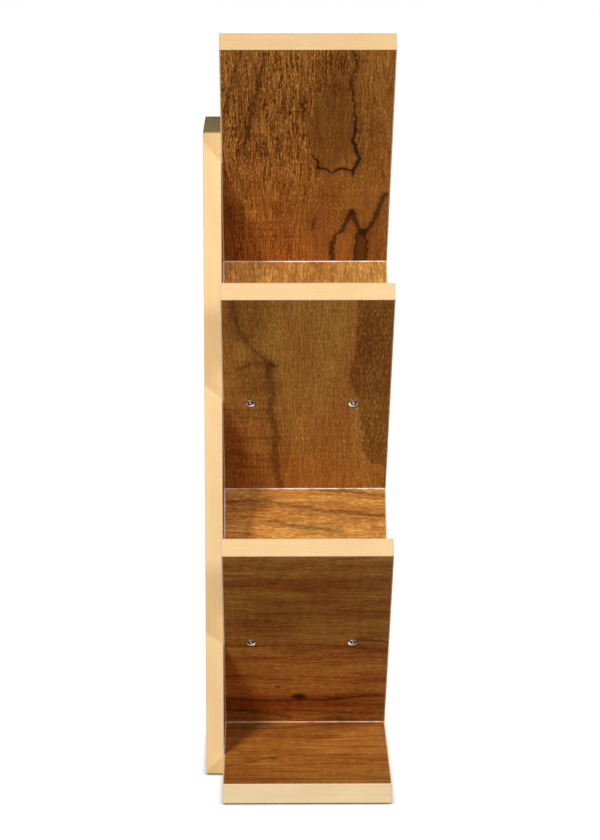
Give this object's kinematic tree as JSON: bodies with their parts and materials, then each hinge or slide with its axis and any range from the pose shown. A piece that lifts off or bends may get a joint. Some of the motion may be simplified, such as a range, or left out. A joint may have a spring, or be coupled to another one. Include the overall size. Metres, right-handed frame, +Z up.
{
  "type": "tree bookshelf",
  "caption": "Free-standing tree-shaped bookshelf: 45-degree branch boards lean left and right in turn from an upright trunk board over a flat base.",
  "frame": {"origin": "on the floor under the middle of the shelf's outline", "axes": "+Z up, +Y to the back, where the trunk board is, +X to the right seen from the front"},
  "size_m": [0.3426, 0.166, 0.6805],
  "materials": {
    "wood_laminate": "satin wood-grain laminate",
    "pale_edge_band": "matte pale beech edge band",
    "bright_screw": "bright zinc plated steel"
  },
  "bodies": {
    "root": {"base_panel": "wood_laminate", "trunk_panel": "wood_laminate", "base_front_band": "pale_edge_band", "base_back_band": "pale_edge_band", "base_left_band": "pale_edge_band", "base_right_band": "pale_edge_band", "trunk_left_band": "pale_edge_band", "trunk_right_band": "pale_edge_band", "trunk_top_band": "pale_edge_band", "base_trunk_screws": "bright_screw", "left_lower_branch_panel": "wood_laminate", "left_lower_branch_front_band": "pale_edge_band", "left_lower_branch_back_band": "pale_edge_band", "left_lower_branch_outer_band": "pale_edge_band", "left_lower_branch_foot_band": "pale_edge_band", "left_lower_branch_foot_screws": "bright_screw", "left_lower_branch_trunk_screws": "bright_screw", "right_lower_branch_panel": "wood_laminate", "right_lower_branch_front_band": "pale_edge_band", "right_lower_branch_back_band": "pale_edge_band", "right_lower_branch_outer_band": "pale_edge_band", "right_lower_branch_foot_band": "pale_edge_band", "right_lower_branch_foot_screws": "bright_screw", "right_lower_branch_trunk_screws": "bright_screw", "left_middle_branch_panel": "wood_laminate", "left_middle_branch_front_band": "pale_edge_band", "left_middle_branch_back_band": "pale_edge_band", "left_middle_branch_outer_band": "pale_edge_band", "left_middle_branch_foot_band": "pale_edge_band", "left_middle_branch_foot_screws": "bright_screw", "left_middle_branch_trunk_screws": "bright_screw", "right_upper_branch_panel": "wood_laminate", "right_upper_branch_front_band": "pale_edge_band", "right_upper_branch_back_band": "pale_edge_band", "right_upper_branch_outer_band": "pale_edge_band", "right_upper_branch_foot_band": "pale_edge_band", "right_upper_branch_foot_screws": "bright_screw", "right_upper_branch_trunk_screws": "bright_screw", "left_upper_branch_panel": "wood_laminate", "left_upper_branch_front_band": "pale_edge_band", "left_upper_branch_back_band": "pale_edge_band", "left_upper_branch_outer_band": "pale_edge_band", "left_upper_branch_foot_band": "pale_edge_band", "left_upper_branch_foot_screws": "bright_screw", "left_upper_branch_trunk_screws": "bright_screw"}
  },
  "joints": []
}
